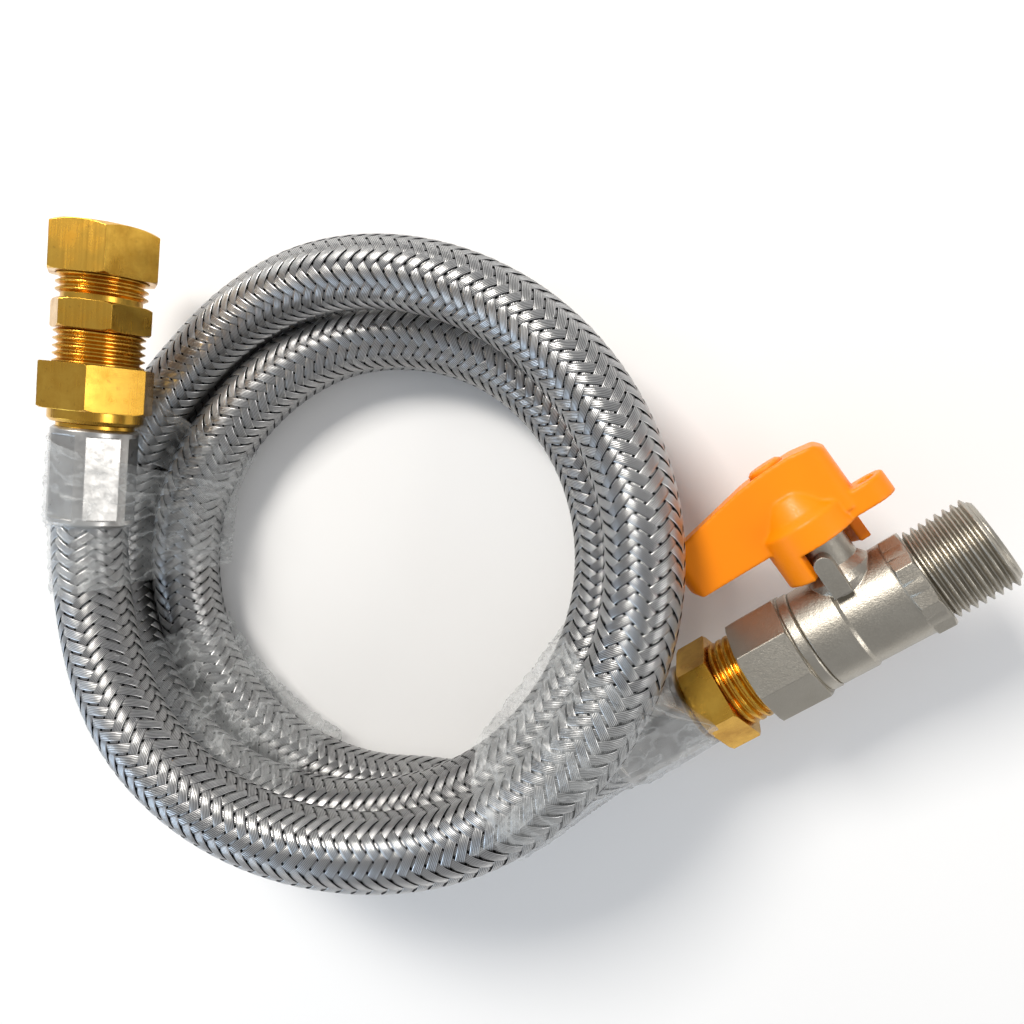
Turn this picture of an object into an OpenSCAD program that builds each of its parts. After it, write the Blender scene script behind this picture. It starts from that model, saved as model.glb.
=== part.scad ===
// Coiled braided gas hose with a compression fitting at one end and a lever ball valve at the other.
// Millimetres. +Z is up, the coil lies flat on z = 0, and the origin is the middle of the footprint.

/* [Hose] */
// Outer diameter of the steel braid
hose_od = 18; // [17.5:0.1:18.2]
// Diameter of the hose where the ferrules crimp it
crimped_od = 17.4; // [17:0.1:17.5]
// Bore of the rubber liner
liner_bore = 12; // [11.6:0.1:12.4]

/* [Coil] */
// Radius of the open middle of the coil
coil_inner_r = 43; // [42.8:0.1:46]
// Outer radius of the coil
coil_outer_r = 85; // [83:0.5:85.2]
// Height of the coil at its middle
coil_mid_h = 45; // [43:0.5:46]
// How much the top of the coil rises from its middle to its high side
coil_rise = 13; // [8:0.5:13]
// Direction of the high side, degrees from +X
coil_high_side = 285; // [275:1:290]

/* [Placing] */
// Middle of the coil, along X
coil_x = -31.65; // [-33:0.01:-31]
// Middle of the coil, along Y
coil_y = -4.03; // [-5:0.01:-3]
// Height of the compression fitting's axis
fitting_z = 33; // [32.8:0.1:34]
// Plan direction of the compression fitting, degrees from +X
fitting_heading = 84; // [83:0.5:85]
// Plan direction of the valve, degrees from +X
valve_heading = 35.4; // [35:0.1:36]
// How steeply the valve rises away from the hose
valve_pitch = 10; // [9:0.5:10.5]

/* [Threads] */
// Outer diameter of the G 1/2 thread
thread_d = 20.955; // [20.8:0.005:20.99]
// Pitch of the G 1/2 thread
thread_pitch = 1.814; // [1.6:0.002:1.9]
// Depth of the G 1/2 thread
thread_depth = 1.162; // [0.8:0.002:1.2]

/* [Fitting] */
// Spanner size of the swivel nut and the compression nut
nut_af = 24; // [23.6:0.1:24.4]
// Spanner size of the compression body
body_af = 21; // [21:0.1:22]
// Diameter of the tube that the compression fitting takes
tube_d = 15; // [14.8:0.05:15.1]

/* [Valve] */
// Spanner size of the brass hose nipple
nipple_af = 22.5; // [22:0.1:23]
// Spanner size of the valve's eight-sided end piece
end_piece_af = 24; // [24:0.1:25]
// Diameter of the ball
ball_d = 17.6; // [17:0.1:17.8]
// Bore through the ball
ball_bore = 11; // [8:0.5:11.5]
// Length of the lever's arm from the stem
arm_length = 29.3; // [24:0.1:29.5]
// Thickness of the lever's blade
blade_t = 11; // [10:0.1:11.4]

/* [Film] */
// Thickness of the wrapping film as packed in layers
film_t = 0.5; // [0.4:0.05:0.55]

/* [Hidden] */
$fn = 64;

brass = "goldenrod";
nickel = [0.66, 0.63, 0.57];
plated_steel = "silver";
braid_grey = "lightsteelblue";
orange_plastic = "darkorange";
white_ptfe = "white";
black_rubber = [0.1, 0.1, 0.1];
clear_film = [0.8, 0.88, 0.92, 0.4];

hose_r = hose_od / 2;
thread_r = thread_d / 2;
thread_root_r = thread_r - thread_depth;
// Radial gap between a thread and the bore that it turns in
running_gap = 0.07;
// Radial gap between still pieces that sit in one another
seat_gap = 0.05;
// A little extra length for cuts that go right through
cut = 1;

// Where the ferrules' hose ends are, measured from the middle of the coil
fitting_start = [-67.6, 7.1, fitting_z];
valve_start = [65.3, -48.1, 18.5];

// Stations along the fitting's axis, from the ferrule's hose end
ferrule_len = 24;
neck_end = 25;
swivel_start = 25.2;
swivel_hex = 28.2;
flange_start = 28.8;
flange_end = 31.2;
washer_end = 32.6;
swivel_end = 39.4;
body_hex = 47.8;
body_hex_end = 54.6;
nut_start = 60.8;
body_end = 67.6;
tube_stop = 49.3;
nut_end = 72.8;

// Stations along the valve's axis, from the ferrule's hose end
nipple_hex = 25.5;
nipple_thread = 33.2;
octagon_start = 40;
nipple_end = 50.2;
socket_floor = 51;
octagon_end = 52.5;
lip_end = 55.3;
spigot_end = 58.5;
stem_at = 67.8;
cavity_end = 76;
collar_start = 77.8;
collar_end = 82.3;
valve_end = 97.8;
flow_r = 6.5;
cavity_r = 9.4;

// Heights along the stem's axis, from the valve's axis
stem_flange_low = 8.9;
stem_flange_top = 9.9;
recess_top = 10.65;
boss_top = 12.8;
neck_top = 21.4;
leg_low = 13.1;
drum_low = 19.1;
drum_top = 24.8;
drum_r = 10.4;
drum_wall_r = 7.8;
socket_low = 22.2;
socket_top = 31.2;
screw_seat = 32.4;
blade_low = 21.6;
blade_top = 38.2;
stem_r = 4;
stem_square = 5.6;
o_ring_heights = [14, 17];

// The stretch of hose from the coil to the valve, measured from the middle of the coil
tail_route = [
    [0, -67, 9.2], [12, -67, 9.3], [24, -67, 10], [36, -64.5, 11.5],
    [47.5, -60, 13.6], [58.5, -53.3, 16.6], valve_start
];
tail_sides = 12;

// ---- Placing ----

module at_coil() {
    translate([coil_x, coil_y, 0])
        children();
}

// The fitting's axis becomes +Z and world up becomes -X
module at_fitting() {
    at_coil()
        translate(fitting_start)
            rotate([0, 90, fitting_heading])
                children();
}

// The valve's axis becomes +Z, its stem +Y and world up -X
module at_valve() {
    at_coil()
        translate(valve_start)
            rotate([0, 90 - valve_pitch, valve_heading])
                children();
}

// The stem's axis becomes +Z, the way along the pipe to the outlet +X and world up -Y
module at_stem() {
    at_valve()
        translate([0, 0, stem_at])
            rotate([-90, -90, 0])
                children();
}

// ---- Shapes that repeat ----

module ring(outer_r, inner_r, from, to) {
    translate([0, 0, from])
        difference() {
            cylinder(r = outer_r, h = to - from);
            translate([0, 0, -cut])
                cylinder(r = inner_r, h = to - from + 2 * cut);
        }
}

module bore(r, from, to) {
    translate([0, 0, from])
        cylinder(r = r, h = to - from);
}

// A prism with flats af apart, its corners chamfered at either end
module flats(sides, af, from, to, low_bevel = 1, high_bevel = 1) {
    corner_r = af / 2 / cos(180 / sides);
    bevel_drop = 0.55;
    intersection() {
        translate([0, 0, from])
            cylinder(r = corner_r, h = to - from, $fn = sides);
        rotate_extrude()
            polygon([
                [0, from],
                [corner_r - low_bevel, from],
                [corner_r, from + low_bevel * bevel_drop],
                [corner_r, to - high_bevel * bevel_drop],
                [corner_r - high_bevel, to],
                [0, to]
            ]);
    }
}

// One groove and crest after another, from the root up to the crest and down again
function thread_outline(from, count, depth) = [
    for (i = [0 : count - 1])
        let (flank = depth * tan(27.5), crest = thread_pitch - 2 * flank - 0.3,
            z = from + i * thread_pitch)
            for (p = [[0, 0], [1, flank], [1, flank + crest], [0, 2 * flank + crest]])
                [thread_root_r + p[0] * depth, z + p[1]]
];

// A threaded length with a plain root at its start and a bevelled end
module male_thread(from, to, depth = thread_depth) {
    lead = 0.6;
    root_in = 0.5;
    count = floor((to - from - lead) / thread_pitch);
    first = to - lead - count * thread_pitch;
    rotate_extrude()
        polygon(concat(
            [[0, from - root_in], [thread_root_r, from - root_in]],
            thread_outline(first, count, depth),
            [[thread_root_r, to - lead], [thread_root_r - lead, to], [0, to]]
        ));
}

// A crimped sleeve: six pressed flats between two round rims
module ferrule() {
    rim_r = 10.1;
    flat_apothem = 9.3;
    rim_len = 1.8;
    end_wall = 1.2;
    round_over = 0.6;
    difference() {
        intersection() {
            rotate_extrude()
                polygon([
                    [0, 0], [rim_r - round_over, 0], [rim_r, round_over],
                    [rim_r, ferrule_len - round_over], [rim_r - round_over, ferrule_len], [0, ferrule_len]
                ]);
            union() {
                rotate([0, 0, 30])
                    cylinder(r = flat_apothem / cos(30), h = ferrule_len, $fn = 6);
                bore(rim_r + cut, -cut, rim_len);
                bore(rim_r + cut, ferrule_len - rim_len, ferrule_len + cut);
            }
        }
        bore(crimped_od / 2, -cut, ferrule_len - end_wall);
        bore(liner_bore / 2 + seat_gap, 0, ferrule_len + cut);
    }
}

// The crimped end of the hose, between the ferrule and the barbs
module hose_end() {
    clearance = 0.3;
    ring(crimped_od / 2 - seat_gap, liner_bore / 2 + seat_gap, 0, ferrule_len - 1.2 - clearance);
}

// The barbed tail that the hose is crimped on
module barbs(bore_r) {
    barb_r = liner_bore / 2;
    groove_r = barb_r - 0.5;
    barb_pitch = 3.5;
    barb_count = 6;
    root_in = 0.2;
    difference() {
        rotate_extrude()
            polygon(concat(
                [[0, 1], [groove_r, 1]],
                [
                    for (i = [0 : barb_count - 1])
                        for (p = [[groove_r, 0.2], [barb_r, 2.6], [barb_r, 3.2], [groove_r, 3.2]])
                            [p[0], 1 + i * barb_pitch + p[1]]
                ],
                [
                    [groove_r, ferrule_len - 1.4], [barb_r, ferrule_len - 1.2],
                    [barb_r, ferrule_len + root_in], [0, ferrule_len + root_in]
                ]
            ));
        bore(bore_r, 0, ferrule_len + cut);
    }
}

// ---- Hose ----

// The coil's section: a tall ring with well rounded edges
module coil_section(from_r, to_r, low, high, edge_r) {
    translate([from_r + edge_r, low])
        square([to_r - from_r - 2 * edge_r, high - low]);
    translate([from_r, low + edge_r])
        square([to_r - from_r, high - low - 2 * edge_r]);
    for (x = [from_r + edge_r, to_r - edge_r])
        for (y = [low + edge_r, high - edge_r])
            translate([x, y])
                circle(r = edge_r);
}

module hose_coil() {
    full_h = coil_mid_h + coil_rise;
    floor_gap = film_t + 0.1;
    tilt = atan(coil_rise / (0.83 * coil_outer_r));
    block = 300;
    stub_len = 16;
    ferrule_room = 10.5;
    behind_ferrule = 1.4;
    nut_room = 14.5;
    hex_room = 13.5;
    lever_room = 31.5;
    lever_above = 9;
    color(braid_grey) {
        difference() {
            at_coil()
                difference() {
                    rotate_extrude($fn = 128)
                        coil_section(coil_inner_r, coil_outer_r, floor_gap, full_h, 8);
                    // The top slopes down away from the high side
                    translate([0, 0, coil_mid_h])
                        rotate([0, 0, coil_high_side])
                            rotate([0, -tilt, 0])
                                translate([-block / 2, -block / 2, 0])
                                    cube([block, block, block]);
                    // Room above the lower turns for the ferrule, then for the nuts
                    translate([-block / 2, fitting_start[1] - behind_ferrule, fitting_z - ferrule_room])
                        cube([block / 2 - 40, block, block]);
                    translate([-block / 2, fitting_start[1] + ferrule_len, fitting_z - nut_room])
                        cube([block / 2 - 40, block, block]);
                }
            at_valve() {
                bore(ferrule_room, 0, ferrule_len);
                bore(hex_room, ferrule_len, octagon_end);
            }
            // Room for the lever's sweep, from its open place down to its closed one
            at_stem()
                translate([-lever_room, -lever_above, drum_low])
                    cube([lever_room, lever_above + lever_room, blade_top + 2 - drum_low]);
        }
        at_fitting()
            bore(hose_r, -stub_len, 0);
    }
}

function unit(v) = v / norm(v);

// Direction of the route at one of its points; the last follows the valve's axis
function route_direction(route, i, last_dir) =
    i == len(route) - 1 ? last_dir
    : i == 0 ? unit(route[1] - route[0])
    : unit(route[i + 1] - route[i - 1]);

// One ring of points round the route
function route_ring(p, dir, r, sides) =
    let (side = unit(cross(dir, [0, 0, 1])), up = cross(side, dir))
        [for (k = [0 : sides - 1]) p + r * (side * cos(360 * k / sides) + up * sin(360 * k / sides))];

module swept_tube(route, r, sides, last_dir) {
    rings = len(route);
    points = [for (i = [0 : rings - 1]) each route_ring(route[i], route_direction(route, i, last_dir), r, sides)];
    walls = [
        for (i = [0 : rings - 2])
            for (k = [0 : sides - 1])
                let (a = i * sides, b = a + sides, n = (k + 1) % sides)
                    [a + k, a + n, b + n, b + k]
    ];
    first_cap = [for (k = [0 : sides - 1]) sides - 1 - k];
    last_cap = [for (k = [0 : sides - 1]) (rings - 1) * sides + k];
    polyhedron(points = points, faces = concat(walls, [first_cap, last_cap]), convexity = 4);
}

module hose_tail() {
    valve_dir = [
        cos(valve_pitch) * cos(valve_heading),
        cos(valve_pitch) * sin(valve_heading),
        sin(valve_pitch)
    ];
    color(braid_grey)
        at_coil()
            swept_tube(tail_route, hose_r, tail_sides, valve_dir);
}

// ---- Compression fitting ----

module ferrule_fitting() {
    color(plated_steel)
        at_fitting()
            rotate([0, 0, -12])
                ferrule();
}

module hose_end_fitting() {
    color(black_rubber)
        at_fitting()
            hose_end();
}

module hose_spigot() {
    spigot_bore = 4.8;
    tube_r = 6.8;
    flange_r = 9;
    color(brass)
        at_fitting() {
            barbs(spigot_bore);
            ring(hose_r, spigot_bore, ferrule_len, neck_end);
            ring(tube_r, spigot_bore, neck_end - 0.2, flange_start + 0.2);
            ring(flange_r, spigot_bore, flange_start, flange_end);
        }
}

module swivel_nut() {
    collar_r = 11;
    shoulder_r = 7;
    shoulder_end = 28.6;
    bevel = 0.8;
    color(brass)
        at_fitting()
            difference() {
                union() {
                    rotate([0, 0, 25])
                        flats(6, nut_af, swivel_hex, swivel_end, 0.9, 0.4);
                    rotate_extrude()
                        polygon([
                            [0, swivel_start], [collar_r - bevel, swivel_start],
                            [collar_r, swivel_start + bevel], [collar_r, swivel_hex + 0.5], [0, swivel_hex + 0.5]
                        ]);
                }
                bore(shoulder_r, swivel_start - cut, shoulder_end + cut);
                bore(thread_r + running_gap, shoulder_end, swivel_end + cut);
            }
}

module sealing_washer() {
    washer_inner_r = 5.2;
    color("seagreen")
        at_fitting()
            ring(9.2, washer_inner_r, flange_end, washer_end);
}

module compression_body() {
    flow_bore = 5.5;
    mouth_r = 8.7;
    mouth_depth = 2.4;
    color(brass)
        at_fitting()
            difference() {
                union() {
                    translate([0, 0, washer_end + body_hex])
                        mirror([0, 0, 1])
                            male_thread(washer_end, body_hex);
                    rotate([0, 0, 46])
                        flats(6, body_af, body_hex, body_hex_end);
                    male_thread(body_hex_end, body_end);
                }
                bore(flow_bore, washer_end - cut, body_end);
                bore(tube_d / 2 + seat_gap, tube_stop, body_end + cut);
                // The cone that the olive is squeezed into
                rotate_extrude()
                    polygon([
                        [0, body_end - mouth_depth - 0.5], [tube_d / 2, body_end - mouth_depth - 0.5],
                        [tube_d / 2, body_end - mouth_depth], [mouth_r, body_end],
                        [mouth_r, body_end + cut], [0, body_end + cut]
                    ]);
            }
}

module olive() {
    olive_bore = tube_d / 2 + 0.1;
    olive_r = 8.6;
    low = body_end - 1.7;
    high = body_end + 2.3;
    color(brass)
        at_fitting()
            rotate_extrude()
                polygon([
                    [olive_bore, low], [olive_bore + 0.15, low], [olive_r, low + 1.9],
                    [olive_r, high - 1.9], [olive_bore + 0.15, high], [olive_bore, high]
                ]);
}

module compression_nut() {
    cone_start = nut_end - 4.7;
    cone_end = nut_end - 2.5;
    hole_r = tube_d / 2 + 0.2;
    color(brass)
        at_fitting()
            difference() {
                rotate([0, 0, 36])
                    flats(6, nut_af, nut_start, nut_end, 0.8, 2);
                bore(thread_r + running_gap, nut_start - cut, cone_start);
                rotate_extrude()
                    polygon([
                        [0, cone_start - cut], [thread_r + running_gap, cone_start - cut],
                        [thread_r + running_gap, cone_start], [hole_r, cone_end], [0, cone_end]
                    ]);
                bore(hole_r, nut_start, nut_end + cut);
            }
}

// ---- Ball valve ----

module ferrule_valve() {
    color(plated_steel)
        at_valve()
            rotate([0, 0, 12])
                ferrule();
}

module hose_end_valve() {
    color(black_rubber)
        at_valve()
            hose_end();
}

module hose_nipple() {
    nipple_bore = 4.8;
    neck_r = 8.6;
    // The nipple's crests are rolled flatter than the outlet's
    truncation = 0.2;
    color(brass)
        at_valve() {
            barbs(nipple_bore);
            ring(neck_r, nipple_bore, ferrule_len, nipple_hex + 0.2);
            difference() {
                union() {
                    rotate([0, 0, 12])
                        flats(6, nipple_af, nipple_hex, nipple_thread, 0.8, 0.6);
                    male_thread(nipple_thread, nipple_end, thread_depth - truncation);
                }
                bore(nipple_bore, ferrule_len, nipple_end + cut);
            }
        }
}

module valve_end_piece() {
    lip_r = 11.7;
    spigot_r = 10.1;
    color(nickel)
        at_valve()
            difference() {
                union() {
                    rotate([0, 0, 10.5])
                        flats(8, end_piece_af, octagon_start, octagon_end, 0.5, 0.5);
                    rotate_extrude()
                        polygon([
                            [0, octagon_end - 0.5], [lip_r - 0.6, octagon_end - 0.5], [lip_r, octagon_end + 0.6],
                            [lip_r, lip_end - 0.3], [lip_r - 0.3, lip_end], [0, lip_end]
                        ]);
                    bore(spigot_r, lip_end - cut, spigot_end);
                }
                bore(thread_r + running_gap, octagon_start - cut, socket_floor);
                bore(flow_r, socket_floor - cut, spigot_end + cut);
            }
}

// The body's turned outline, from its inlet face to the end of the male thread
module body_outline() {
    big_r = 11.5;
    waist_r = 11;
    collar_r = 11.4;
    step = 64.5;
    bevel = 0.4;
    rotate_extrude()
        polygon([
            [0, lip_end], [big_r - bevel, lip_end], [big_r, lip_end + bevel], [big_r, step - bevel],
            [waist_r, step + bevel], [waist_r, collar_start - bevel], [collar_r - 0.3, collar_start],
            [collar_r - 0.3, collar_start + bevel], [collar_r - 0.3, collar_end - bevel],
            [collar_r - 1.2, collar_end], [0, collar_end]
        ]);
    rotate([0, 0, 10.5])
        flats(8, 2 * waist_r, collar_start, collar_end, 0.5, 0.8);
}

module valve_body() {
    recess_r = 5.5;
    neck_r = 6;
    boss_r = 8.4;
    boss_low = 5;
    lug_in = 5;
    lug_out = 10.8;
    lug_w = 4.1;
    lug_shift = -0.7;
    lug_low = 8;
    lug_high = 17.2;
    end_thread_r = 10.2;
    end_thread_end = 60;
    color(nickel)
        difference() {
            union() {
                at_valve() {
                    body_outline();
                    male_thread(collar_end, valve_end);
                }
                at_stem() {
                    rotate_extrude()
                        polygon([
                            [0, boss_low], [boss_r, boss_low], [boss_r, boss_top - 3.6],
                            [boss_r - 0.8, boss_top - 2], [neck_r, boss_top], [neck_r, neck_top], [0, neck_top]
                        ]);
                    // The lug that the lever's legs stop against
                    translate([lug_shift - lug_w / 2, -lug_out, lug_low])
                        cube([lug_w, lug_out - lug_in, lug_high - lug_low - lug_w / 2]);
                    translate([lug_shift, -lug_in, lug_high - lug_w / 2])
                        rotate([90, 0, 0])
                            cylinder(d = lug_w, h = lug_out - lug_in);
                }
            }
            at_valve() {
                bore(end_thread_r, lip_end - cut, end_thread_end);
                bore(cavity_r, lip_end, cavity_end);
                bore(flow_r, cavity_end - cut, valve_end + cut);
            }
            at_stem() {
                bore(recess_r, 4, recess_top);
                bore(stem_r + running_gap, recess_top - cut, neck_top + cut);
            }
        }
}

// A ring hollowed to the ball's shape, lying on one side of it
module seat(from, to) {
    ball_gap = 0.2;
    color(white_ptfe)
        at_valve()
            difference() {
                ring(cavity_r - seat_gap, ball_bore / 2, from, to);
                translate([0, 0, stem_at])
                    sphere(r = ball_d / 2 + ball_gap);
            }
}

module seat_inlet() {
    seat(60.05, 62.5);
}

module seat_outlet() {
    seat(73.1, cavity_end - seat_gap);
}

module ball() {
    slot_w = 3.3;
    slot_floor = 6.6;
    color("gainsboro")
        difference() {
            at_valve()
                translate([0, 0, stem_at])
                    sphere(r = ball_d / 2);
            at_valve()
                bore(ball_bore / 2, stem_at - ball_d, stem_at + ball_d);
            at_stem()
                translate([-ball_d, -slot_w / 2, slot_floor])
                    cube([2 * ball_d, slot_w, ball_d]);
        }
}

module stem() {
    tang_w = 3;
    tang_l = 7;
    tang_low = 6.8;
    flange_r = 5.2;
    groove_r = 3;
    groove_w = 1.3;
    screw_hole_r = 2.05;
    screw_hole_low = 24;
    square_start = 21.8;
    color(brass)
        at_stem()
            difference() {
                union() {
                    translate([-tang_l / 2, -tang_w / 2, tang_low])
                        cube([tang_l, tang_w, stem_flange_low - tang_low + 0.1]);
                    bore(flange_r, stem_flange_low, stem_flange_top);
                    bore(stem_r, stem_flange_low, square_start);
                    translate([-stem_square / 2, -stem_square / 2, square_start - cut])
                        cube([stem_square, stem_square, socket_top - square_start + cut - 0.1]);
                }
                for (y = o_ring_heights)
                    ring(stem_r + cut, groove_r, y - groove_w / 2, y + groove_w / 2);
                bore(screw_hole_r, screw_hole_low, socket_top + cut);
            }
}

module thrust_washer() {
    color(white_ptfe)
        at_stem()
            ring(5.3, stem_r + 0.2, stem_flange_top + seat_gap, recess_top);
}

module stem_o_rings() {
    section_r = 0.5;
    color(black_rubber)
        at_stem()
            for (y = o_ring_heights)
                translate([0, 0, y])
                    rotate_extrude()
                        translate([3.52, 0])
                            circle(r = section_r, $fn = 24);
}

// ---- Lever ----

// Side view of the blade: a level underside, a round tip and a top that rises to the stem
module blade_profile() {
    tip_r = 2.4;
    heel = 12.8;
    tip_top = 34;
    difference() {
        polygon([
            [-arm_length, blade_low + tip_r], [-arm_length + tip_r, blade_low], [heel, blade_low],
            [heel, blade_top - 2.6], [heel - 1.6, blade_top - 1], [6, blade_top - 0.1], [0, blade_top],
            [-7, blade_top - 0.6], [-arm_length + 3.4, tip_top], [-arm_length + 0.9, tip_top - 1.6],
            [-arm_length, tip_top - 4]
        ]);
        translate([-arm_length, blade_low])
            difference() {
                translate([-cut, -cut])
                    square(tip_r + cut);
                translate([tip_r, tip_r])
                    circle(r = tip_r);
            }
    }
}

// Plan view of the blade: straight sides that end in a rounded tip
module blade_plan() {
    corner_r = 3.4;
    heel = 12.8;
    translate([-arm_length + corner_r, -blade_t / 2])
        square([arm_length + heel - 2 * corner_r, blade_t]);
    translate([-arm_length, -blade_t / 2 + corner_r])
        square([arm_length + heel, blade_t - 2 * corner_r]);
    for (x = [-arm_length + corner_r, heel - corner_r])
        for (y = [-1, 1])
            translate([x, y * (blade_t / 2 - corner_r)])
                circle(r = corner_r);
}

// What is cut away below the drum between two legs
module leg_gap(from, to) {
    rotate([0, 0, from])
        rotate_extrude(angle = to - from)
            translate([drum_wall_r - 2, leg_low - cut])
                square([drum_r - drum_wall_r + 4, drum_low - leg_low + cut]);
}

module lever_handle() {
    ear_centre = 14.8;
    ear_r = 4.8;
    ear_low = 19.4;
    ear_high = 24.7;
    seal_hole_r = 1.8;
    head_room_r = 4.1;
    screw_room_r = 2.2;
    flare_r = 6.2;
    flare_top = 31;
    square_room = stem_square + 0.2;
    color(orange_plastic)
        at_stem()
            difference() {
                union() {
                    intersection() {
                        rotate([90, 0, 0])
                            translate([0, 0, -blade_t / 2])
                                linear_extrude(height = blade_t)
                                    blade_profile();
                        linear_extrude(height = blade_top + cut)
                            blade_plan();
                    }
                    rotate_extrude()
                        polygon([
                            [0, leg_low], [drum_r, leg_low], [drum_r, drum_top],
                            [drum_r - 1.9, drum_top + 1.6], [flare_r + 0.9, flare_top - 1.8],
                            [flare_r, flare_top], [0, flare_top]
                        ]);
                    lever_ear(ear_centre, ear_r, ear_low, ear_high);
                }
                leg_gap(70, 192);
                leg_gap(249, 371);
                bore(drum_wall_r, leg_low - cut, socket_low);
                translate([-square_room / 2, -square_room / 2, socket_low - cut])
                    cube([square_room, square_room, socket_top - socket_low + cut]);
                bore(screw_room_r, socket_top - cut, screw_seat + cut);
                bore(head_room_r, screw_seat, blade_top + cut);
                translate([ear_centre + 0.9, 0, 0])
                    bore(seal_hole_r, ear_low - cut, ear_high + cut);
            }
}

// The ear beside the drum that a sealing wire goes through
module lever_ear(centre, r, low, high) {
    translate([centre, 0, 0])
        bore(r, low, high);
    translate([0, -r, low])
        cube([centre, 2 * r, high - low]);
}

module handle_screw() {
    head_r = 3.4;
    head_h = 2.4;
    shank_r = 1.95;
    shank_low = 24.6;
    recess_af = 2.5;
    color(plated_steel)
        at_stem()
            difference() {
                union() {
                    bore(shank_r, shank_low, screw_seat + 0.1);
                    bore(head_r, screw_seat + seat_gap, screw_seat + head_h);
                }
                translate([0, 0, screw_seat + head_h - 1.3])
                    cylinder(r = recess_af / 2 / cos(30), h = 2, $fn = 6);
            }
}

module screw_cap() {
    cap_r = 4.05;
    skirt_low = 36;
    rim_h = 38.6;
    dome_h = 39.2;
    color(orange_plastic)
        at_stem()
            rotate_extrude()
                polygon([
                    [0, skirt_low], [cap_r - 0.05, skirt_low], [cap_r - 0.05, rim_h],
                    [cap_r - 0.8, dome_h - 0.1], [0, dome_h]
                ]);
}

// ---- Wrapping film ----

// A band of film round the coil, between two plan directions; its outline is outer_r wide up to side_h
module film_band(from, to, outer_r, side_h, top_r, top_h) {
    inner_r = coil_inner_r - 0.2 - film_t;
    at_coil()
        rotate([0, 0, from])
            rotate_extrude(angle = to - from, $fn = 128)
                difference() {
                    polygon([
                        [inner_r, 0], [outer_r, 0], [outer_r, side_h], [top_r, top_h], [inner_r, top_h]
                    ]);
                    polygon([
                        [inner_r + film_t, film_t], [outer_r - film_t, film_t],
                        [outer_r - film_t, side_h - film_t / 4], [top_r - film_t / 4, top_h - film_t],
                        [inner_r + film_t, top_h - film_t]
                    ]);
                }
}

module film_wrap_fitting() {
    outer_r = coil_outer_r + 0.2 + film_t;
    top_h = 47.5;
    shoulder = 1;
    color(clear_film)
        film_band(157.5, 197, outer_r, top_h - shoulder, outer_r - shoulder, top_h);
}

module film_wrap_lower() {
    outer_r = coil_outer_r + 0.2 + film_t;
    top_h = 56.6;
    shoulder = 1;
    color(clear_film)
        film_band(207, 238, outer_r, top_h - shoulder, outer_r - shoulder, top_h);
}

module film_wrap_valve() {
    color(clear_film)
        film_band(311, 327, 96, 36, coil_outer_r, coil_mid_h + coil_rise + 0.4);
}

hose_coil();
hose_tail();
ferrule_fitting();
hose_end_fitting();
hose_spigot();
swivel_nut();
sealing_washer();
compression_body();
olive();
compression_nut();
ferrule_valve();
hose_end_valve();
hose_nipple();
valve_end_piece();
valve_body();
seat_inlet();
seat_outlet();
ball();
stem();
thrust_washer();
stem_o_rings();
lever_handle();
handle_screw();
screw_cap();
film_wrap_fitting();
film_wrap_lower();
film_wrap_valve();
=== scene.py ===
"""A coiled braided gas hose with a compression fitting and a ball valve, on a pale studio floor.

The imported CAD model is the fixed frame. This script adds the camera, the braided hose itself, the
lever's moulded edges, the wrinkled packing film, the materials, the floor and the lights. Lengths
are in metres, unless a comment says mm.
"""

import math

import bpy
import numpy as np
from mathutils import Matrix, Vector, noise


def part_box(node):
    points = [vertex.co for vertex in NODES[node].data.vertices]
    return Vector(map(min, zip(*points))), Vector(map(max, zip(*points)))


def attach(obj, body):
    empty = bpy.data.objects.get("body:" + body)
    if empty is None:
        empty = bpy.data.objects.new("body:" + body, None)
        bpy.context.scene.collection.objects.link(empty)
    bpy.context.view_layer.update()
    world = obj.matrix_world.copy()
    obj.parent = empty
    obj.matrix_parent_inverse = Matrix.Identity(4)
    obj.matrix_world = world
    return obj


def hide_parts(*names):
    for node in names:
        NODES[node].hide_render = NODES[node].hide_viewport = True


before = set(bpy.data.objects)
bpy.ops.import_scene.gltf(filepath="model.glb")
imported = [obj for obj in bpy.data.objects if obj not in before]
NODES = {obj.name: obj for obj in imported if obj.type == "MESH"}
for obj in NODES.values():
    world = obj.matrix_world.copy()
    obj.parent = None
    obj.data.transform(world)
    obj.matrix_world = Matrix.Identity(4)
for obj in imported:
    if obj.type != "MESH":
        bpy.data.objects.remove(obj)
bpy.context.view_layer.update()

MM = 0.001

# ---------------------------------------------------------------- places, from the frame

coil_low, coil_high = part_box("hose_coil")
COIL = Vector(((coil_low[0] + coil_high[0]) / 2, (coil_low[1] + coil_high[1]) / 2, 0))


def heading(degrees, pitch=0.0):
    """The unit vector that points that way in plan and rises by pitch."""
    a, p = math.radians(degrees), math.radians(pitch)
    return Vector((math.cos(p) * math.cos(a), math.cos(p) * math.sin(a), math.sin(p)))


# Where the braid enters each ferrule, and which way the ferrule then runs
FITTING_START = COIL + Vector((-67.6, 7.1, 33)) * MM
FITTING_AXIS = heading(84)
VALVE_START = COIL + Vector((65.3, -48.1, 18.5)) * MM
VALVE_AXIS = heading(35.4, 10)

# ---------------------------------------------------------------- camera

CAMERA_PLACE = COIL + Vector((75, 28, 226)) * MM
CAMERA_RIGHT = Vector((0.98488, 0, -0.17318))
CAMERA_UP = Vector((-0.01462, 0.99642, -0.08313))

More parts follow.
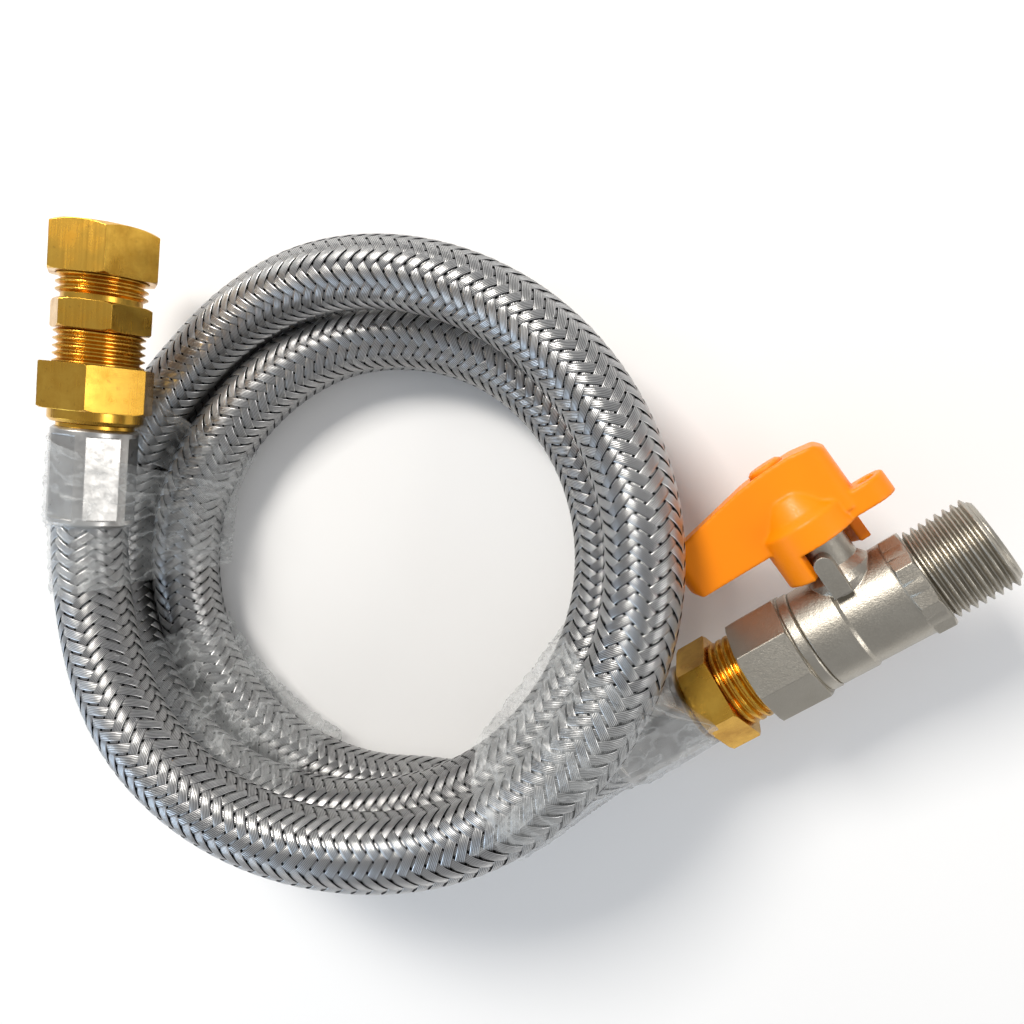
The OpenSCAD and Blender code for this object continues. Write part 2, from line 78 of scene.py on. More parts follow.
cam_data = bpy.data.cameras.new("camera")
cam_data.lens = 29.88
cam_data.sensor_width = 36
cam_data.clip_start = 0.01
camera = bpy.data.objects.new("camera", cam_data)
bpy.context.scene.collection.objects.link(camera)
cam_turn = Matrix((CAMERA_RIGHT, CAMERA_UP, CAMERA_RIGHT.cross(CAMERA_UP))).transposed()
camera.matrix_world = Matrix.Translation(CAMERA_PLACE) @ cam_turn.to_4x4()
bpy.context.scene.camera = camera

# ---------------------------------------------------------------- the hose's route

HOSE_R = 9 * MM
CORE_R = 8.3 * MM
# Every 45 degrees of the coil from the fitting on: radius and height of the hose's middle, in mm
COIL_KEYS = [
    (68, 33), (66, 43.5), (66.5, 46.5), (70, 46.5), (71.5, 39.5), (70.5, 29), (69, 22.5),
    (70.5, 9.3), (75.5, 9.1), (71, 25), (66.5, 28.5), (64.5, 28), (63, 17), (60, 9.5),
    (55, 9), (51.5, 9), (55.5, 9), (62, 9), (67, 9.2),
]
# The key that would follow the last, which bends the curve's end
KEY_AFTER_LAST = (71, 9.4)
KEY_STEP = 45
COIL_START_ANGLE = 180
COIL_POINT_STEP = 7.5
# From the coil to the valve, in mm from the middle of the coil
TAIL_ROUTE = [
    (12, -67, 9.3), (24, -67, 10), (36, -64.5, 11.5), (47.5, -60, 13.6), (58.5, -53.3, 16.6),
    (65.3, -48.1, 18.5),
]
INTO_FERRULE = 4 * MM
LINE_STEP = 0.25 * MM
CURVE_CUTS = 12


def catmull_rom(a, b, c, d, f):
    """The curve through b and c at the fraction f between them."""
    return 0.5 * (2 * b + (c - a) * f + (2 * a - 5 * b + 4 * c - d) * f * f + (3 * b - a - 3 * c + d) * f**3)


def key_at(turn):
    """Radius and height in mm of the hose's middle after that many degrees of coil."""
    keys = [Vector(k) for k in COIL_KEYS]
    u = max(turn / KEY_STEP, 0)
    i = min(int(u), len(keys) - 2)
    before = keys[i - 1] if i else keys[1]
    after = keys[i + 2] if i + 2 < len(keys) else Vector(KEY_AFTER_LAST)
    r, z = catmull_rom(before, keys[i], keys[i + 1], after, u - i)
    return r, max(z, HOSE_R / MM)


def coil_point(turn):
    """The hose's middle after that many degrees of coil."""
    r, z = key_at(turn)
    a = math.radians(COIL_START_ANGLE + turn)
    return COIL + Vector((r * math.cos(a), r * math.sin(a), z)) * MM


def hose_route():
    """Points along the hose's middle, from inside one ferrule to inside the other."""
    last_turn = (len(COIL_KEYS) - 1) * KEY_STEP
    turns = np.linspace(0, last_turn, int(last_turn / COIL_POINT_STEP) + 1)
    pts = [FITTING_START + FITTING_AXIS * INTO_FERRULE, FITTING_START]
    pts += [coil_point(t) for t in turns]
    pts += [COIL + Vector(p) * MM for p in TAIL_ROUTE]
    pts.append(pts[-1] + VALVE_AXIS * INTO_FERRULE)
    return pts


def smooth_line(pts, step):
    """A dense centripetal curve through pts, with a point every step metres, and its length."""
    dense = []
    pts = [Vector(p) for p in pts]
    padded = [pts[0] * 2 - pts[1]] + pts + [pts[-1] * 2 - pts[-2]]
    for i in range(1, len(padded) - 2):
        p0, p1, p2, p3 = padded[i - 1 : i + 3]
        t1 = (p1 - p0).length ** 0.5
        t2 = t1 + (p2 - p1).length ** 0.5
        t3 = t2 + (p3 - p2).length ** 0.5
        for f in np.linspace(0, 1, CURVE_CUTS, endpoint=False):
            t = t1 + f * (t2 - t1)
            a1 = p0 * ((t1 - t) / t1) + p1 * (t / t1)
            a2 = p1 * ((t2 - t) / (t2 - t1)) + p2 * ((t - t1) / (t2 - t1))
            a3 = p2 * ((t3 - t) / (t3 - t2)) + p3 * ((t - t2) / (t3 - t2))
            b1 = a1 * ((t2 - t) / t2) + a2 * (t / t2)
            b2 = a2 * ((t3 - t) / (t3 - t1)) + a3 * ((t - t1) / (t3 - t1))
            dense.append(b1 * ((t2 - t) / (t2 - t1)) + b2 * ((t - t1) / (t2 - t1)))
    dense.append(pts[-1])
    line = np.array([tuple(p) for p in dense])
    lengths = np.concatenate([[0], np.cumsum(np.linalg.norm(np.diff(line, axis=0), axis=1))])
    count = int(round(lengths[-1] / step)) + 1
    at = np.linspace(0, lengths[-1], count)
    return np.stack([np.interp(at, lengths, line[:, k]) for k in range(3)], axis=1), lengths[-1]


def carried_frames(line):
    """Two normals at each point of the line, carried along it without twist."""
    tangents = np.gradient(line, axis=0)
    tangents /= np.linalg.norm(tangents, axis=1)[:, None]
    normal = np.cross(tangents[0], (0, 0, 1))
    normals = []
    for t in tangents:
        normal = normal - t * normal.dot(t)
        normal /= np.linalg.norm(normal)
        normals.append(normal)
    normals = np.array(normals)
    return normals, np.cross(tangents, normals)


line, hose_length = smooth_line(hose_route(), LINE_STEP)
side_n, side_b = carried_frames(line)
line_s = np.linspace(0, hose_length, len(line))


def on_hose(s, angle, radius):
    """Points at those lengths along the hose, angles round it and distances from its middle."""
    s = np.clip(s, 0, hose_length)
    c, n, b = (
        np.stack([np.interp(s, line_s, field[:, k]) for k in range(3)], axis=-1)
        for field in (line, side_n, side_b)
    )
    return c + radius[..., None] * (np.cos(angle)[..., None] * n + np.sin(angle)[..., None] * b)


# ---------------------------------------------------------------- mesh helpers


def mesh_object(name, verts, faces, smooth=True, uvs=None):
    """A mesh object from arrays; uvs holds one pair for each vertex."""
    mesh = bpy.data.meshes.new(name)
    mesh.from_pydata([tuple(v) for v in verts], [], [tuple(f) for f in faces])
    if uvs is not None:
        layer = mesh.uv_layers.new(name="UVMap")
        index = np.empty(len(mesh.loops), dtype=np.int32)
        mesh.loops.foreach_get("vertex_index", index)
        layer.data.foreach_set("uv", np.asarray(uvs, dtype=np.float32)[index].ravel())
    mesh.polygons.foreach_set("use_smooth", [smooth] * len(mesh.polygons))
    mesh.update()
    obj = bpy.data.objects.new(name, mesh)
    bpy.context.scene.collection.objects.link(obj)
    return obj


def grid_faces(rows, cols, wrap_cols=False, first=0):
    """Quads between the points of a grid stored row by row."""
    last = cols if wrap_cols else cols - 1
    r, c = np.meshgrid(np.arange(rows - 1), np.arange(last), indexing="ij")
    n = (c + 1) % cols
    quads = np.stack([r * cols + c, r * cols + n, (r + 1) * cols + n, (r + 1) * cols + c], axis=-1)
    return quads.reshape(-1, 4) + first


# ---------------------------------------------------------------- the braid

CARRIERS = 12
LEAD = 40 * MM
BAND_W = 2.2 * MM
BAND_T = 0.2 * MM
WAVE = 0.2 * MM
WAVE_SHARPNESS = 2.4
CROWN = 0.07 * MM
RINGS_PER_CROSSING = 2
ACROSS = np.array([-1, -0.55, 0, 0.55, 1])
BRAID_UV_LENGTH = 10 * MM
CORE_SIDES = 28
CORE_STEP = 2.5 * MM


def braid_bands(name, turn_way):
    """The twelve bands that wind round the hose one way, each over two and under two of the others."""
    crossing = LEAD / (2 * CARRIERS)
    rings = int(hose_length / crossing * RINGS_PER_CROSSING) + 1
    s = np.linspace(0, hose_length, rings)
    slope = math.atan2(2 * math.pi * HOSE_R, LEAD)
    offset = ACROSS * BAND_W / 2
    # A band's section: its crowned top from edge to edge, then the two corners below
    corners = [-1, 0]
    cols = len(ACROSS) + len(corners)
    band_u = np.append((ACROSS + 1) / 2, (1, 0))
    band_uv = np.stack(np.broadcast_arrays(band_u[None, :], (s / BRAID_UV_LENGTH)[:, None]), axis=-1)
    verts, faces, uvs = [], [], []
    for i in range(CARRIERS):
        phase = turn_way * s / crossing + 2 * i - 0.5
        lift = turn_way * np.tanh(WAVE_SHARPNESS * np.cos(phase * math.pi / 2)) / math.tanh(WAVE_SHARPNESS)
        angle = 2 * math.pi * (i / CARRIERS + turn_way * s / LEAD)
        top_s = s[:, None] - offset[None, :] * math.sin(slope)
        top_a = angle[:, None] + turn_way * offset[None, :] * math.cos(slope) / HOSE_R
        top_r = HOSE_R - WAVE + WAVE * lift[:, None] - CROWN * ACROSS[None, :] ** 2
        points = on_hose(
            np.concatenate([top_s, top_s[:, corners]], axis=1),
            np.concatenate([top_a, top_a[:, corners]], axis=1),
            np.concatenate([top_r, top_r[:, corners] - BAND_T], axis=1),
        )
        quads = grid_faces(rings, cols, wrap_cols=True, first=i * rings * cols)
        verts.append(points.reshape(-1, 3))
        faces.append(quads if turn_way > 0 else quads[:, ::-1])
        uvs.append(band_uv.reshape(-1, 2))
    return mesh_object(name, np.concatenate(verts), np.concatenate(faces), uvs=np.concatenate(uvs))


def hose_core():
    """The liner that shows between the bands: black rubber, kept near black so that it is also painted shade
    under the braid.
    """
    rings = int(hose_length / CORE_STEP) + 1
    s = np.linspace(0, hose_length, rings)
    angle = np.linspace(0, 2 * math.pi, CORE_SIDES, endpoint=False)
    ss, aa = np.meshgrid(s, angle, indexing="ij")
    points = on_hose(ss, aa, np.full(ss.shape, CORE_R))
    quads = [tuple(q) for q in grid_faces(rings, CORE_SIDES, wrap_cols=True)]
    quads.append(tuple(range(CORE_SIDES))[::-1])
    quads.append(tuple(range((rings - 1) * CORE_SIDES, rings * CORE_SIDES)))
    return mesh_object("hose_liner", points.reshape(-1, 3), quads)


braid_right = braid_bands("hose_braid_right", 1)
braid_left = braid_bands("hose_braid_left", -1)
liner = hose_core()
for piece in (braid_right, braid_left, liner):
    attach(piece, "root")
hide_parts("hose_coil", "hose_tail")

# ---------------------------------------------------------------- material helpers


class Shader:
    """A material's node tree with short calls for what the materials below share."""

    def __init__(self, name):
        self.material = bpy.data.materials.new(name)
        self.material.use_nodes = True
        self.tree = self.material.node_tree
        self.bsdf = self.tree.nodes["Principled BSDF"]

    def node(self, kind, inputs=None, **settings):
        """A new node with its sockets and settings filled in."""
        n = self.tree.nodes.new(kind)
        for key, value in settings.items():
            setattr(n, key, value)
        for key, value in (inputs or {}).items():
            self.put(n.inputs[key], value)
        return n

    def put(self, socket, value):
        """Links another node's output to a socket, or sets the socket to a plain value."""
        if isinstance(value, bpy.types.NodeSocket):
            self.tree.links.new(value, socket)
        else:
            socket.default_value = value

    def set(self, **values):
        """Sets sockets of the shader, with underscores for spaces."""
        for key, value in values.items():
            self.put(self.bsdf.inputs[key.replace("_", " ")], value)

    def place(self, location=(0, 0, 0), rotation=(0, 0, 0), scale=(1, 1, 1)):
        """Object coordinates turned back by a placing, then scaled."""
        coords = self.node("ShaderNodeTexCoord").outputs["Object"]
        local = self.node(
            "ShaderNodeMapping",
            {"Vector": coords, "Location": location, "Rotation": rotation},
            vector_type="TEXTURE",
        ).outputs[0]
        return self.node("ShaderNodeMapping", {"Vector": local, "Scale": scale}).outputs[0]

    def noise(self, vector, scale, detail=3.0, roughness=0.5):
        """Soft noise, with that many grains to one unit of the vector."""
        inputs = {"Vector": vector, "Scale": scale, "Detail": detail, "Roughness": roughness}
        return self.node("ShaderNodeTexNoise", inputs).outputs["Fac"]

    def ramp(self, value, low, high, low_to=0.0, high_to=1.0):
        """A value spread from one range to another, and held at the second range's ends."""
        inputs = {"Value": value, "From Min": low, "From Max": high, "To Min": low_to, "To Max": high_to}
        return self.node("ShaderNodeMapRange", inputs).outputs["Result"]

    def math(self, operation, a, b=0.0):
        return self.node("ShaderNodeMath", {0: a, 1: b}, operation=operation).outputs[0]

    def mix(self, factor, a, b):
        """The colour between a and b; the node's colour sockets have to be found by number."""
        n = self.node("ShaderNodeMix", {"Factor": factor}, data_type="RGBA")
        self.put(n.inputs[6], a)
        self.put(n.inputs[7], b)
        return n.outputs[2]

    def bump(self, height, strength, distance, normal=None):
        """A normal that follows a height, on top of another normal if there is one."""
        inputs = {"Height": height, "Strength": strength, "Distance": distance}
        if normal is not None:
            inputs["Normal"] = normal
        return self.node("ShaderNodeBump", inputs).outputs[0]

    def round_edges(self, radius):
        """A normal that makes sharp edges look rounded."""
        return self.node("ShaderNodeBevel", {"Radius": radius}, samples=6).outputs[0]


def turned_to(axis, up=(0, 0, 1)):
    """Euler angles of a frame whose Z is the axis."""
    z = Vector(axis).normalized()
    x = Vector(up) - z * z.dot(Vector(up))
    x.normalize()
    return Matrix((x, z.cross(x), z)).transposed().to_euler()


FITTING_PLACE = dict(location=tuple(FITTING_START), rotation=tuple(turned_to(FITTING_AXIS)))
VALVE_PLACE = dict(location=tuple(VALVE_START), rotation=tuple(turned_to(VALVE_AXIS)))


def colour(r, g, b):
    """An opaque colour."""
    return (r, g, b, 1.0)


# ---------------------------------------------------------------- materials


def steel_wire():
    """Flat bands of fine parallel wires: bright crowns, painted shade as dark lines between them and along
    the band edges, faint stains.
    """
    m = Shader("steel_wire")
    uv = m.node("ShaderNodeTexCoord").outputs["UV"]
    split = m.node("ShaderNodeSeparateXYZ", {0: uv})
    wires_in_band = 6
    across = m.math("FRACT", m.math("MULTIPLY", split.outputs[0], wires_in_band))
    centred = m.math("ABSOLUTE", m.math("SUBTRACT", across, 0.5))
    crown = m.ramp(centred, 0.5, 0.22)
    obj = m.place()
    stain = m.noise(obj, 90, 4)
    fine = m.noise(obj, 900, 2)
    bright = m.mix(stain, colour(0.44, 0.44, 0.45), colour(0.68, 0.68, 0.67))
    # Painted shade: the colour drops to near black in the valleys between wires and at each band's edges,
    # where the wires shade each other.
    steel_with_gap_shade = m.mix(m.ramp(crown, 0.0, 0.95), colour(0.012, 0.012, 0.014), bright)
    m.set(
        Base_Color=steel_with_gap_shade,
        Metallic=1.0,
        Roughness=m.ramp(fine, 0.3, 0.7, 0.30, 0.44),
        Normal=m.bump(crown, 0.9, 0.18 * MM),
        Anisotropic=0.6,
        Tangent=m.node("ShaderNodeTangent", direction_type="UV_MAP", uv_map="UVMap").outputs[0],
    )
    return m.material


def liner_rubber():
    """Black rubber, for the liner and the seals; its near-black colour is partly painted shade where the
    liner shows between the braid's bands.
    """
    m = Shader("liner_rubber")
    obj = m.place()
    grain = m.noise(obj, 2500, 3)
    m.set(
        # Near black: real black rubber, and on the liner also painted shade between the braid's bands.
        Base_Color=m.mix(grain, colour(0.008, 0.008, 0.01), colour(0.03, 0.03, 0.034)),
        Roughness=m.ramp(grain, 0.3, 0.7, 0.6, 0.85),
        Normal=m.bump(grain, 0.3, 0.05 * MM),
    )
    return m.material


def brass(name, place, along_bar=True, edge=0.25 * MM):
    """Machined brass: drawn or turned marks, a little tarnish and rounded bright edges."""
    m = Shader(name)
    marks_scale = (2200, 2200, 60) if along_bar else (60, 60, 3500)
    marks = m.noise(m.place(**place, scale=marks_scale), 1.0, 3)
    tarnish = m.noise(m.place(), 130, 5, 0.6)
    spots = m.noise(m.place(), 700, 4, 0.7)
    tone = m.mix(m.ramp(tarnish, 0.35, 0.7), colour(0.78, 0.46, 0.075), colour(0.50, 0.25, 0.03))
    tone = m.mix(m.ramp(spots, 0.62, 0.75, 0, 0.55), tone, colour(0.20, 0.10, 0.03))
    rough = m.math("ADD", m.ramp(marks, 0.3, 0.7, 0.17, 0.23), m.ramp(tarnish, 0.4, 0.7, 0.0, 0.12))
    m.set(
        Base_Color=tone,
        Metallic=1.0,
        Roughness=rough,
        Normal=m.bump(marks, 0.05, 0.02 * MM, m.round_edges(edge)),
    )
    return m.material


def nickel_cast():
    """Satin nickel over a sand-cast skin."""
    m = Shader("nickel_cast")
    grain = m.noise(m.place(), 3200, 2, 0.55)
    lumps = m.noise(m.place(), 1100, 2)
    tone = m.noise(m.place(), 120, 4)
    base = m.mix(tone, colour(0.36, 0.33, 0.28), colour(0.50, 0.47, 0.41))
    height = m.math("ADD", grain, m.math("MULTIPLY", lumps, 0.8))
    m.set(
        Base_Color=base,
        Metallic=1.0,
        Roughness=m.ramp(grain, 0.3, 0.7, 0.30, 0.48),
        Normal=m.bump(height, 0.6, 0.07 * MM, m.round_edges(0.35 * MM)),
    )
    return m.material


def plated_steel():
    """Zinc-plated ferrules with crimping scuffs."""
    m = Shader("plated_steel")
    scuffs = m.noise(m.place(), 400, 6, 0.65)
    patches = m.noise(m.place(), 110, 4)
    m.set(
        Base_Color=m.mix(patches, colour(0.40, 0.39, 0.38), colour(0.60, 0.59, 0.57)),
        Metallic=1.0,
        Roughness=m.ramp(scuffs, 0.3, 0.7, 0.24, 0.46),
        Normal=m.bump(scuffs, 0.12, 0.04 * MM, m.round_edges(0.4 * MM)),
    )
    return m.material


def orange_plastic():
    """Moulded orange plastic with a fine skin."""
    m = Shader("orange_plastic")
    skin = m.noise(m.place(), 1800, 3)
    flow = m.noise(m.place(), 60, 3)
    m.set(
        Base_Color=m.mix(flow, colour(1.0, 0.24, 0.0), colour(1.0, 0.30, 0.0)),
        Roughness=m.ramp(skin, 0.3, 0.7, 0.34, 0.48),
        Specular_IOR_Level=0.35,
        Normal=m.bump(skin, 0.12, 0.05 * MM, m.round_edges(0.7 * MM)),
    )
    return m.material


def plain(name, dark, light, low_rough, high_rough, metallic=0.0, grain_scale=1500):
    """A quiet material for pieces that barely show, with grain in colour, roughness and bump."""
    m = Shader(name)
    grain = m.noise(m.place(), grain_scale, 3)
    m.set(
        Base_Color=m.mix(grain, colour(*dark), colour(*light)),
        Metallic=metallic,
        Roughness=m.ramp(grain, 0.3, 0.7, low_rough, high_rough),
        Normal=m.bump(grain, 0.2, 0.03 * MM, m.round_edges(0.1 * MM)),
    )
    return m.material


def clear_film():
    """Thin wrinkled film: nearly clear where it lies flat, milky along its creases."""
    m = Shader("clear_film")
    uv = m.node("ShaderNodeTexCoord").outputs["UV"]
    pulled = m.node("ShaderNodeMapping", {"Vector": uv, "Scale": (4, 1.3, 1)}).outputs[0]
    folds = m.noise(pulled, 1.6, 3, 0.5)
    creases = m.ramp(m.math("ABSOLUTE", m.math("SUBTRACT", folds, 0.5)), 0.0, 0.05, 1.0, 0.0)
    haze = m.noise(m.place(), 130, 4)
    glance = m.node("ShaderNodeLayerWeight", {"Blend": 0.35}).outputs["Facing"]
    milk = m.math("ADD", m.math("MULTIPLY", creases, 0.22), m.ramp(haze, 0.35, 0.7, 0.05, 0.24))
    alpha = m.math("ADD", milk, m.math("MULTIPLY", glance, 0.22))
    m.set(
        Base_Color=m.mix(haze, colour(0.50, 0.52, 0.53), colour(0.72, 0.74, 0.74)),
        Roughness=0.22,
        Alpha=m.math("MINIMUM", alpha, 0.85),
        Normal=m.bump(folds, 0.5, 0.8 * MM),
    )
    return m.material


WIRE = steel_wire()
RUBBER_AND_SHADE = liner_rubber()
FILM = clear_film()
BRASS_BAR = brass("brass_bar", FITTING_PLACE)
BRASS_TURNED = brass("brass_turned", FITTING_PLACE, along_bar=False)
BRASS_NIPPLE = brass("brass_nipple", VALVE_PLACE)
NICKEL = nickel_cast()
PLATED = plated_steel()
ORANGE = orange_plastic()
PTFE = plain("ptfe", (0.75, 0.75, 0.73), (0.9, 0.9, 0.88), 0.4, 0.55)
FIBRE = plain("fibre_washer", (0.03, 0.14, 0.07), (0.06, 0.24, 0.13), 0.6, 0.8)
BALL = plain("chromed_ball", (0.75, 0.75, 0.75), (0.85, 0.85, 0.85), 0.06, 0.12, metallic=1.0)

NODE_MATERIALS = {
    "ferrule_fitting": PLATED, "ferrule_valve": PLATED, "handle_screw": PLATED,
    "hose_end_fitting": RUBBER_AND_SHADE, "hose_end_valve": RUBBER_AND_SHADE, "stem_o_rings": RUBBER_AND_SHADE,
    "hose_spigot": BRASS_TURNED, "swivel_nut": BRASS_BAR, "compression_body": BRASS_BAR,
    "olive": BRASS_TURNED, "compression_nut": BRASS_BAR, "hose_nipple": BRASS_NIPPLE,
    "stem": BRASS_NIPPLE, "sealing_washer": FIBRE, "seat_inlet": PTFE, "seat_outlet": PTFE,
    "thrust_washer": PTFE, "ball": BALL, "valve_end_piece": NICKEL, "valve_body": NICKEL,
    "lever_handle": ORANGE, "screw_cap": ORANGE,
}
for node_name, material in NODE_MATERIALS.items():
    for material_slot in NODES[node_name].material_slots:
        material_slot.material = material
braid_right.data.materials.append(WIRE)
braid_left.data.materials.append(WIRE)
liner.data.materials.append(RUBBER_AND_SHADE)

# ---------------------------------------------------------------- lever, with moulded edges


def rounded_copy(node, name, grain, passes):
    """A copy of a part with its edges softened: remeshed finely, then smoothed."""
    obj = bpy.data.objects.new(name, node.data.copy())
    bpy.context.scene.collection.objects.link(obj)
    obj.matrix_world = node.matrix_world.copy()
    remesh = obj.modifiers.new("remesh", "REMESH")
    remesh.mode = "VOXEL"
    remesh.voxel_size = grain
    smooth = obj.modifiers.new("smooth", "SMOOTH")
    smooth.factor = 0.5
    smooth.iterations = passes
    shape = bpy.data.meshes.new_from_object(obj.evaluated_get(bpy.context.evaluated_depsgraph_get()))
    obj.modifiers.clear()
    obj.data = shape
    shape.polygons.foreach_set("use_smooth", [True] * len(shape.polygons))
    return obj


LEVER_GRAIN = 0.33 * MM
LEVER_PASSES = 7

lever = rounded_copy(NODES["lever_handle"], "lever_moulding", LEVER_GRAIN, LEVER_PASSES)
lever.data.materials.clear()
lever.data.materials.append(ORANGE)
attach(lever, "lever")
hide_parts("lever_handle")

# ---------------------------------------------------------------- packing film

FILM_GAP = 0.45 * MM
FILM_FLOOR_GAP = 0.05 * MM
EDGE_JAG = 0.6 * MM
FERRULE_R = 10.3 * MM
FERRULE_LENGTH = 24 * MM
BELOW_UPPER_TURN = 31 * MM
# Degrees between a band's rows, and the points round each row
FILM_ROW_STEP = 0.45
FILM_POINTS = 180
# How many rows on each side smooth a row, and how many rows away they still count for much
SMOOTH_ROWS = 6
SMOOTH_SPREAD = 2.5
# How much of a band one repeat of its texture covers, in degrees, and the repeats round it
FILM_UV_TURN = 30
FILM_UV_ROUND = 6
DIRECTIONS = 180
DIRECTION_STEP = 2 * math.pi / DIRECTIONS
COS = np.cos(np.arange(DIRECTIONS) * DIRECTION_STEP)
SIN = np.sin(np.arange(DIRECTIONS) * DIRECTION_STEP)


def crossings(theta, line_points, radius):
    """Where a line of points crosses the coil's radial half-plane at theta.

    Each crossing is its distance out, its height and the radius of what runs along the line. A
    change of sign far from theta is the half-plane on the other side of the coil.
    """
    far = 30
    rel = line_points - np.array(COIL)
    turn = np.degrees(np.arctan2(rel[:, 1], rel[:, 0])) - theta
    turn = (turn + 180) % 360 - 180
    hits = np.nonzero((np.sign(turn[:-1]) != np.sign(turn[1:])) & (np.abs(turn[:-1]) < far))[0]
    found = []
    for i in hits:
        f = turn[i] / (turn[i] - turn[i + 1])
        p = rel[i] * (1 - f) + rel[i + 1] * f
        found.append((math.hypot(p[0], p[1]), p[2], radius))
    return found


def straight(start, axis, length, steps=60):
    """Points along a straight line."""
    return np.array([tuple(start + axis * (length * k / steps)) for k in range(steps + 1)])


def support(circles):
    """How far the convex outline of the circles reaches in each direction."""
    return np.max([out * COS + up * SIN + radius for out, up, radius in circles], axis=0)


def outline(reach, count):
    """Evenly spaced points of the outline that has that reach."""
    slope = (np.roll(reach, -1) - np.roll(reach, 1)) / (2 * DIRECTION_STEP)
    x = reach * COS - slope * SIN
    y = reach * SIN + slope * COS
    x, y = np.append(x, x[0]), np.append(y, y[0])
    lengths = np.concatenate([[0], np.cumsum(np.hypot(np.diff(x), np.diff(y)))])
    at = np.linspace(0, lengths[-1], count, endpoint=False)
    return np.interp(at, lengths, x), np.interp(at, lengths, y)


def bridged(reach, thetas, taut):
    """The rows' reach with the coil's inner side drawn out towards the chord between a band's ends."""
    off_middle = np.radians(thetas - (thetas[0] + thetas[-1]) / 2)
    inner = -reach[:, DIRECTIONS // 2]
    chord = min(inner[0], inner[-1]) * math.cos(off_middle[-1]) / np.cos(off_middle)
    bridge = np.maximum(inner - chord, 0) * taut
    return reach + bridge[:, None] * np.maximum(-COS, 0)[None, :] ** 1.5


def smoothed(reach):
    """Each row's reach blended with its neighbours' reach, and nowhere less than its own."""
    kernel = np.exp(-0.5 * (np.arange(-SMOOTH_ROWS, SMOOTH_ROWS + 1) / SMOOTH_SPREAD) ** 2)
    kernel /= kernel.sum()
    padded = np.pad(reach, ((SMOOTH_ROWS, SMOOTH_ROWS), (0, 0)), mode="edge")
    blended = sum(k * padded[i : i + len(reach)] for i, k in enumerate(kernel))
    return np.maximum(reach, blended)


def wrinkles(row, k, seed):
    """The film's rise at a point: sharp ridges, soft waves and a faint ripple, as a share of a wrinkle."""
    spot = Vector((row * 0.11, k * 0.035, seed))
    ridge = 1 - abs(noise.noise(spot * 2.2)) * 2.4
    wave = noise.noise(spot * 0.9 + Vector((9, 0, 0)))
    ripple = noise.noise(Vector((row * 0.5, k * 0.12, seed + 4)))
    return max(ridge, 0) ** 2 + 0.5 * wave + 0.1 * ripple


def film_band(name, from_deg, to_deg, lines, seed, keep=None, wrinkle=0.5 * MM, taut=0.8):
    """A wrinkled band of film between two plan directions, stretched round every line that passes.

    A line is its points and the radius of the hose or ferrule along it.
    """
    turn = abs(to_deg - from_deg)
    rows = int(turn / FILM_ROW_STEP) + 1
    thetas = np.linspace(from_deg, to_deg, rows)
    reach = []
    for theta in thetas:
        circles = [c for points, r in lines for c in crossings(theta, points, r + FILM_GAP)]
        reach.append(support([c for c in circles if keep is None or keep(c)]))
    reach = smoothed(bridged(np.array(reach), thetas, taut))
    verts, uvs = [], []
    for row, theta in enumerate(thetas):
        out, up = outline(reach[row], FILM_POINTS)
        mid_out, mid_up = out.mean(), up.mean()
        jag = EDGE_JAG if row in (0, rows - 1) else 0
        for k in range(FILM_POINTS):
            swell = wrinkle * wrinkles(row, k, seed)
            reach_out, reach_up = out[k] - mid_out, up[k] - mid_up
            size = math.hypot(reach_out, reach_up)
            r = out[k] + swell * reach_out / size
            z = max(up[k] + swell * reach_up / size, FILM_FLOOR_GAP)
            a = math.radians(theta) + jag * noise.noise(Vector((0, k * 0.09, seed + 8))) / r
            verts.append((COIL.x + r * math.cos(a), COIL.y + r * math.sin(a), z))
            uvs.append((row / rows * turn / FILM_UV_TURN, k / FILM_POINTS * FILM_UV_ROUND))
    return mesh_object(name, verts, grid_faces(rows, FILM_POINTS, wrap_cols=True), uvs=uvs)


def in_lower_turns(circle):
    """Whether a crossing belongs to the turns below the upper one."""
    height = circle[1]
    return height < BELOW_UPPER_TURN


hose_lines = [(line, HOSE_R)]
fitting_lines = hose_lines + [(straight(FITTING_START, FITTING_AXIS, FERRULE_LENGTH), FERRULE_R)]
valve_lines = hose_lines + [(straight(VALVE_START, VALVE_AXIS, FERRULE_LENGTH), FERRULE_R + 1 * MM)]

film_left = film_band("film_round_fitting", 158.2, 188, fitting_lines, seed=1)
film_left_low = film_band(
    "film_below_fitting", 146, 160, hose_lines, seed=2, keep=in_lower_turns, wrinkle=0.15 * MM
)
film_lower = film_band("film_lower", 204, 256, hose_lines, seed=3, keep=in_lower_turns, taut=0.4)
film_right = film_band("film_round_valve_end", 306, 341, valve_lines, seed=4)


def loose_strip():
    """A pointed end of film that lies loose on top of the upper turn. Its numbers are in mm."""
    rows, cols = 22, 7
    start_deg, run_deg = 327, 26
    wide_half, point_half, taper = 3.4, 0.15, 0.7
    start_side, drift = -3.5, 4.5
    gap, flutter = 0.7, 0.35
    hose_r = HOSE_R / MM
    verts, uvs = [], []
    for i in range(rows):
        f = i / (rows - 1)
        theta = start_deg - run_deg * f
        turn_r, turn_z = key_at((theta + COIL_START_ANGLE) % 360)
        half = wide_half * (1 - f) ** taper + point_half
        for k in range(cols):
            side = (k / (cols - 1) * 2 - 1) * half + start_side + drift * f
            over_hose = math.sqrt(max(hose_r**2 - side**2, 0))
            lift = over_hose + gap + flutter * noise.noise(Vector((f * 9, k * 0.6, 3)))
            a = math.radians(theta)
            r = (turn_r + side) * MM
            verts.append((COIL.x + r * math.cos(a), COIL.y + r * math.sin(a), (turn_z + lift) * MM))
            uvs.append((f, k / cols))
    return mesh_object("film_loose_end", verts, grid_faces(rows, cols), uvs=uvs)


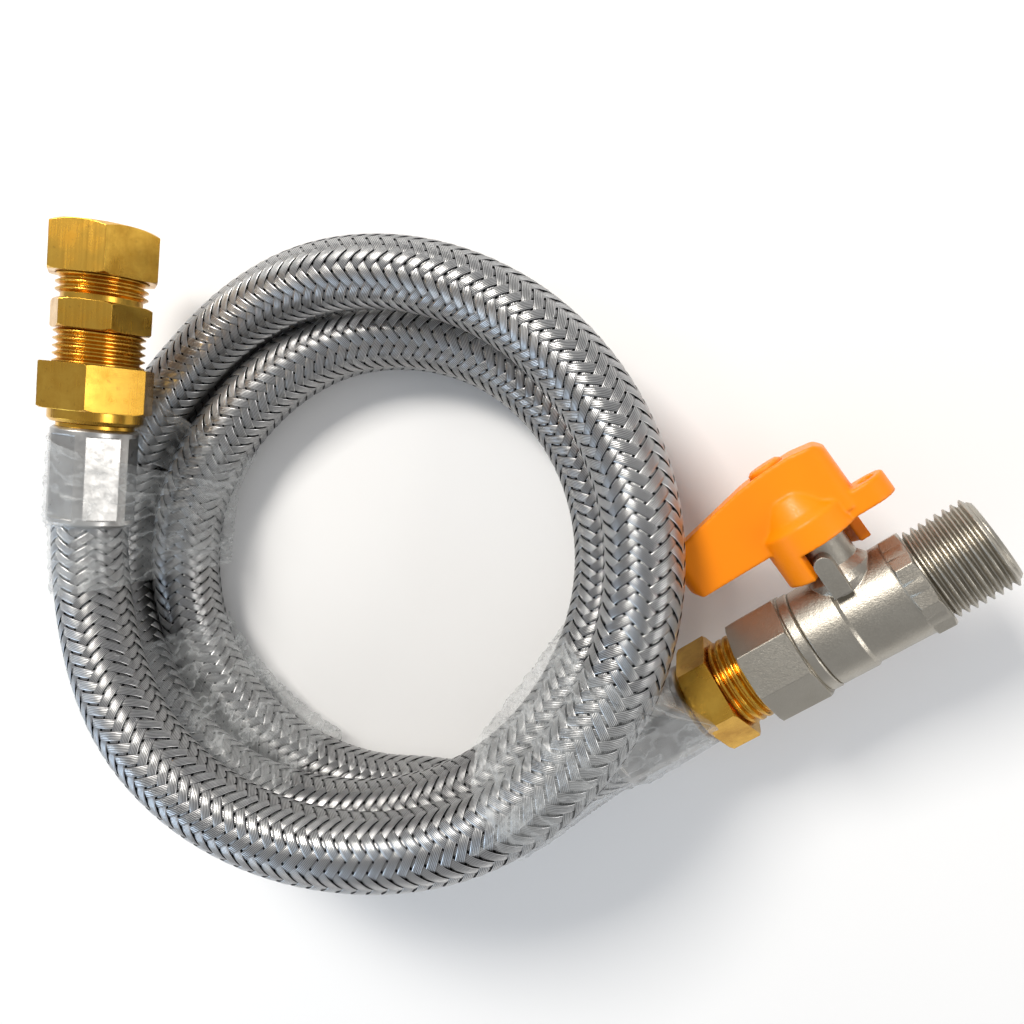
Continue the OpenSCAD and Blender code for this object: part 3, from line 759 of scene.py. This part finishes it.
film_strip = loose_strip()
for piece, node_name in (
    (film_strip, None), (film_left, "film_wrap_fitting"), (film_left_low, None),
    (film_lower, "film_wrap_lower"), (film_right, "film_wrap_valve"),
):
    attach(piece, "root")
    piece.data.materials.append(FILM)
    if node_name:
        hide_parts(node_name)

# ---------------------------------------------------------------- studio


FLOOR_HALF = 1.5
WORLD_TINT = (0.97, 0.98, 1.0, 1)
WORLD_STRENGTH = 0.45
LIGHTS_AIM = (0.0, 0.0, 0.02)
# Each light's name, place, length of side, power and tint
LIGHTS = [
    ("key", (-0.35, 0.55, 0.7), 0.3, 8.0, (1.0, 0.96, 0.90)),
    ("fill", (-0.8, -0.5, 0.35), 0.5, 2.8, (0.62, 0.79, 1.0)),
    ("side", (0.8, -0.1, 0.5), 0.35, 2.2, (1.0, 0.98, 0.95)),
]


def floor():
    """A pale floor, far wider than the object."""
    corners = [(x * FLOOR_HALF, y * FLOOR_HALF, 0) for x, y in ((-1, -1), (1, -1), (1, 1), (-1, 1))]
    obj = mesh_object("floor", corners, [(0, 1, 2, 3)])
    m = Shader("studio_floor")
    m.set(Base_Color=colour(0.9, 0.9, 0.9), Roughness=0.7)
    obj.data.materials.append(m.material)


def area_light(name, place, size, power, tint):
    """A square light that faces the object."""
    data = bpy.data.lights.new(name, "AREA")
    data.shape = "RECTANGLE"
    data.size = size
    data.size_y = size
    data.energy = power
    data.color = tint
    obj = bpy.data.objects.new(name, data)
    bpy.context.scene.collection.objects.link(obj)
    obj.location = place
    obj.rotation_euler = (Vector(LIGHTS_AIM) - Vector(place)).to_track_quat("-Z", "Y").to_euler()


def studio():
    """The floor, the surrounding light and the three lights."""
    floor()
    world = bpy.data.worlds.new("studio")
    world.use_nodes = True
    background = world.node_tree.nodes["Background"]
    background.inputs["Color"].default_value = WORLD_TINT
    background.inputs["Strength"].default_value = WORLD_STRENGTH
    bpy.context.scene.world = world
    for light in LIGHTS:
        area_light(*light)


studio()
bpy.context.scene.view_settings.view_transform = "Standard"
